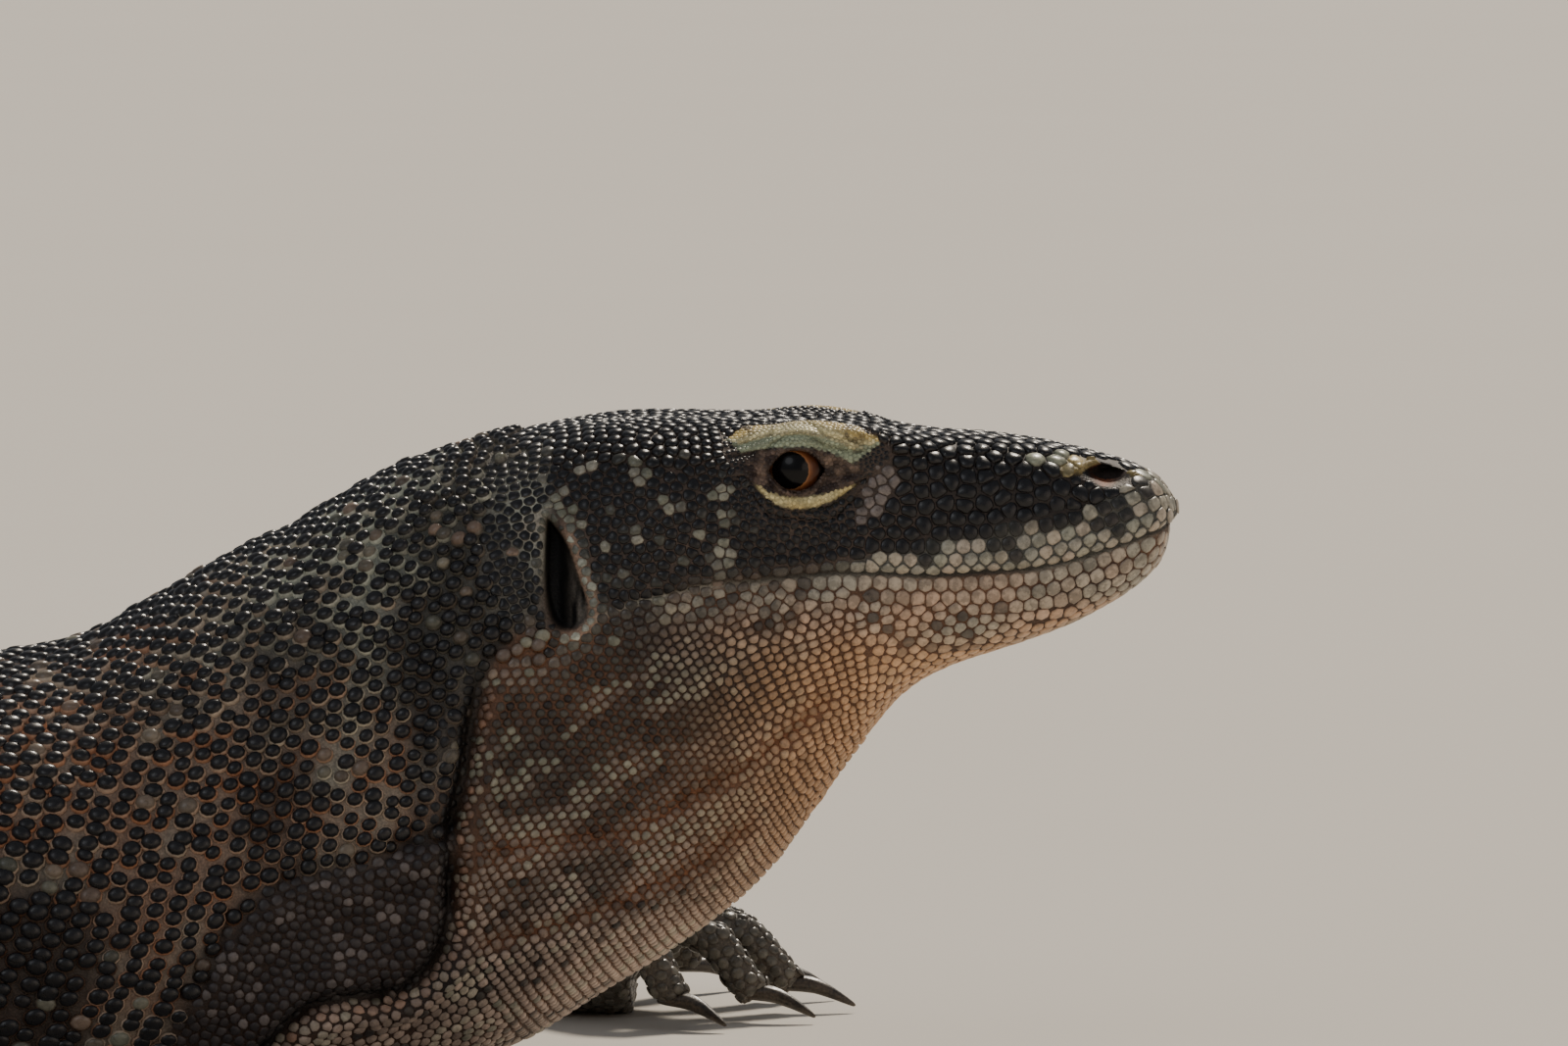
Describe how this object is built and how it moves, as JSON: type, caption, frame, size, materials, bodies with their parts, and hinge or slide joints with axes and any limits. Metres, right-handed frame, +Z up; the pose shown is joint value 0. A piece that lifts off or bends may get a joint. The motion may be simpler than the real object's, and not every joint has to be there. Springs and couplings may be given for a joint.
{
  "type": "komodo dragon model",
  "caption": "Life-size still model of a komodo dragon lying on its belly with head raised and tail laid in a gentle curve.",
  "frame": {"origin": "the middle of the belly's flat underside, on the floor", "axes": "+X towards the snout, +Y towards the animal's left, +Z up"},
  "size_m": [2.4335, 0.7639, 0.2235],
  "materials": {
    "head_scales": "smooth dark keratin scales",
    "throat_scales": "small tan bead scales",
    "body_scales": "domed bead scales over brown skin",
    "eye": "wet and glossy",
    "claw": "worn dark horn"
  },
  "bodies": {
    "root": {"claw_fore_left_1": "claw", "claw_fore_left_2": "claw", "claw_fore_left_3": "claw", "claw_fore_left_4": "claw", "claw_fore_left_5": "claw", "claw_fore_right_1": "claw", "claw_fore_right_2": "claw", "claw_fore_right_3": "claw", "claw_fore_right_4": "claw", "claw_fore_right_5": "claw", "claw_hind_left_1": "claw", "claw_hind_left_2": "claw", "claw_hind_left_3": "claw", "claw_hind_left_4": "claw", "claw_hind_left_5": "claw", "claw_hind_right_1": "claw", "claw_hind_right_2": "claw", "claw_hind_right_3": "claw", "claw_hind_right_4": "claw", "claw_hind_right_5": "claw", "eye_left": "eye", "eye_right": "eye", "foot_left": "body_scales", "foot_right": "body_scales", "forearm_left": "body_scales", "forearm_right": "body_scales", "hand_left": "body_scales", "hand_right": "body_scales", "head": "head_scales", "hips": "body_scales", "jaw_and_throat": "throat_scales", "neck_front": "body_scales", "neck_rear": "body_scales", "shank_left": "body_scales", "shank_right": "body_scales", "tail_1": "body_scales", "tail_2": "body_scales", "tail_3": "body_scales", "tail_4": "body_scales", "tail_5": "body_scales", "thigh_left": "body_scales", "thigh_right": "body_scales", "trunk_front": "body_scales", "trunk_rear": "body_scales", "upper_arm_left": "body_scales", "upper_arm_right": "body_scales"}
  },
  "joints": []
}
